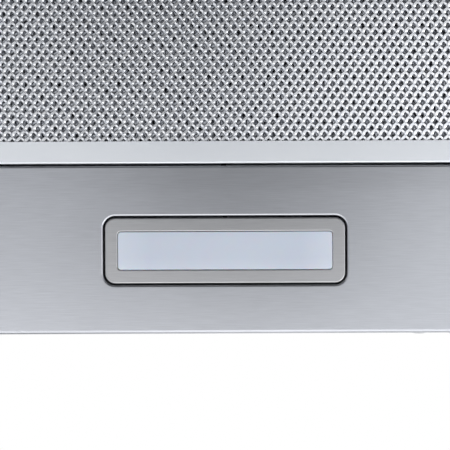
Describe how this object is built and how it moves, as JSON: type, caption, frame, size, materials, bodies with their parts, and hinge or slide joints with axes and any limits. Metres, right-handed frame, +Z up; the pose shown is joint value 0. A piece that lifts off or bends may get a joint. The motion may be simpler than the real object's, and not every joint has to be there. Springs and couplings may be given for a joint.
{
  "type": "under cabinet range hood",
  "caption": "Slim stainless under cabinet range hood with drop-down mesh grease filters, twin-wheel blower, top duct collar with damper, recessed lamps and push buttons.",
  "frame": {"origin": "middle of the flat top face that meets the underside of the cabinet", "axes": "+X to the user's right as they face the hood, +Y towards the wall, +Z up"},
  "size_m": [0.75, 0.5023, 0.1816],
  "materials": {
    "brushed_panels": "fine horizontal brushing, satin",
    "filter_aluminium": "bright satin, smooth frame and slit-and-stretched mesh",
    "spring_steel": "smooth spring steel",
    "galvanised_sheet": "zinc coated, faint spangle",
    "plain_steel": "ground, lightly oiled",
    "motor_enamel": "black baked enamel",
    "copper_winding": "varnished copper wire",
    "dark_plastic": "moulded, fine texture",
    "pale_plastic": "moulded, fine texture",
    "light_board": "white solder mask",
    "frosted_pane": "frosted acrylic, bluish white when unlit",
    "button_chrome": "satin chrome cap",
    "lead_sheath": "soft black sheath"
  },
  "bodies": {
    "hood": {"canopy_top": "brushed_panels", "left_side_panel": "brushed_panels", "right_side_panel": "brushed_panels", "back_panel": "brushed_panels", "front_panel": "brushed_panels", "rear_filter_rail": "brushed_panels", "centre_filter_rail": "brushed_panels", "left_lamp_bezel": "brushed_panels", "right_lamp_bezel": "brushed_panels", "left_latch_keeper": "spring_steel", "right_latch_keeper": "spring_steel", "rear_outlet_cover": "galvanised_sheet", "duct_collar": "galvanised_sheet", "outlet_deck": "galvanised_sheet", "left_scroll_housing": "galvanised_sheet", "right_scroll_housing": "galvanised_sheet", "motor_bracket": "galvanised_sheet", "junction_box": "galvanised_sheet", "junction_cover": "galvanised_sheet", "left_lamp_housing": "galvanised_sheet", "right_lamp_housing": "galvanised_sheet", "left_bearing": "plain_steel", "right_bearing": "plain_steel", "motor_can_left": "motor_enamel", "motor_can_right": "motor_enamel", "motor_stator": "copper_winding", "run_capacitor": "dark_plastic", "control_plate": "dark_plastic", "cable_bushing": "dark_plastic", "switch_bank": "pale_plastic", "terminal_block": "pale_plastic", "led_driver": "pale_plastic", "left_lamp_board": "light_board", "right_lamp_board": "light_board", "left_lamp_diffuser": "frosted_pane", "right_lamp_diffuser": "frosted_pane", "motor_lead": "lead_sheath", "left_lamp_lead": "lead_sheath", "right_lamp_lead": "lead_sheath"},
    "left_filter": {"left_filter_frame": "filter_aluminium", "left_filter_mesh": "filter_aluminium", "left_filter_core": "filter_aluminium"},
    "right_filter": {"right_filter_frame": "filter_aluminium", "right_filter_mesh": "filter_aluminium", "right_filter_core": "filter_aluminium"},
    "left_latch": {"left_filter_latch": "spring_steel"},
    "right_latch": {"right_filter_latch": "spring_steel"},
    "blower_wheel": {"motor_shaft": "plain_steel", "motor_rotor": "plain_steel", "left_impeller": "galvanised_sheet", "right_impeller": "galvanised_sheet"},
    "damper": {"damper_flap": "galvanised_sheet", "damper_pin": "plain_steel"},
    "button_1": {"push_button_1": "button_chrome"},
    "button_2": {"push_button_2": "button_chrome"},
    "button_3": {"push_button_3": "button_chrome"},
    "button_4": {"push_button_4": "button_chrome"},
    "button_5": {"push_button_5": "button_chrome"}
  },
  "joints": [
    {"name": "left_filter_drop", "type": "hinge", "parent": "hood", "child": "left_filter", "pos_m": [-0.179, -0.2352, -0.1265], "axis": [-1, 0, 0], "range_deg": [0, 85], "deforming": ["left_latch_keeper"]},
    {"name": "left_latch_pull", "type": "slide", "parent": "left_filter", "child": "left_latch", "axis": [0, -1, 0], "range_m": [0, 0.006], "stiffness_N_per_m": 300},
    {"name": "right_filter_drop", "type": "hinge", "parent": "hood", "child": "right_filter", "pos_m": [0.179, -0.2352, -0.1265], "axis": [-1, 0, 0], "range_deg": [0, 85], "deforming": ["right_latch_keeper"]},
    {"name": "right_latch_pull", "type": "slide", "parent": "right_filter", "child": "right_latch", "axis": [0, -1, 0], "range_m": [0, 0.006], "stiffness_N_per_m": 300},
    {"name": "blower_spin", "type": "hinge", "parent": "hood", "child": "blower_wheel", "pos_m": [0, 0.065, -0.062], "axis": [1, 0, 0], "continuous": true},
    {"name": "damper_swing", "type": "hinge", "parent": "hood", "child": "damper", "pos_m": [0, 0.102, 0.012], "axis": [-1, 0, 0], "range_deg": [0, 75]},
    {"name": "button_1_press", "type": "slide", "parent": "hood", "child": "button_1", "axis": [0, 1, 0], "range_m": [0, 0.002], "stiffness_N_per_m": 400},
    {"name": "button_2_press", "type": "slide", "parent": "hood", "child": "button_2", "axis": [0, 1, 0], "range_m": [0, 0.002], "stiffness_N_per_m": 400},
    {"name": "button_3_press", "type": "slide", "parent": "hood", "child": "button_3", "axis": [0, 1, 0], "range_m": [0, 0.002], "stiffness_N_per_m": 400},
    {"name": "button_4_press", "type": "slide", "parent": "hood", "child": "button_4", "axis": [0, 1, 0], "range_m": [0, 0.002], "stiffness_N_per_m": 400},
    {"name": "button_5_press", "type": "slide", "parent": "hood", "child": "button_5", "axis": [0, 1, 0], "range_m": [0, 0.002], "stiffness_N_per_m": 400}
  ]
}
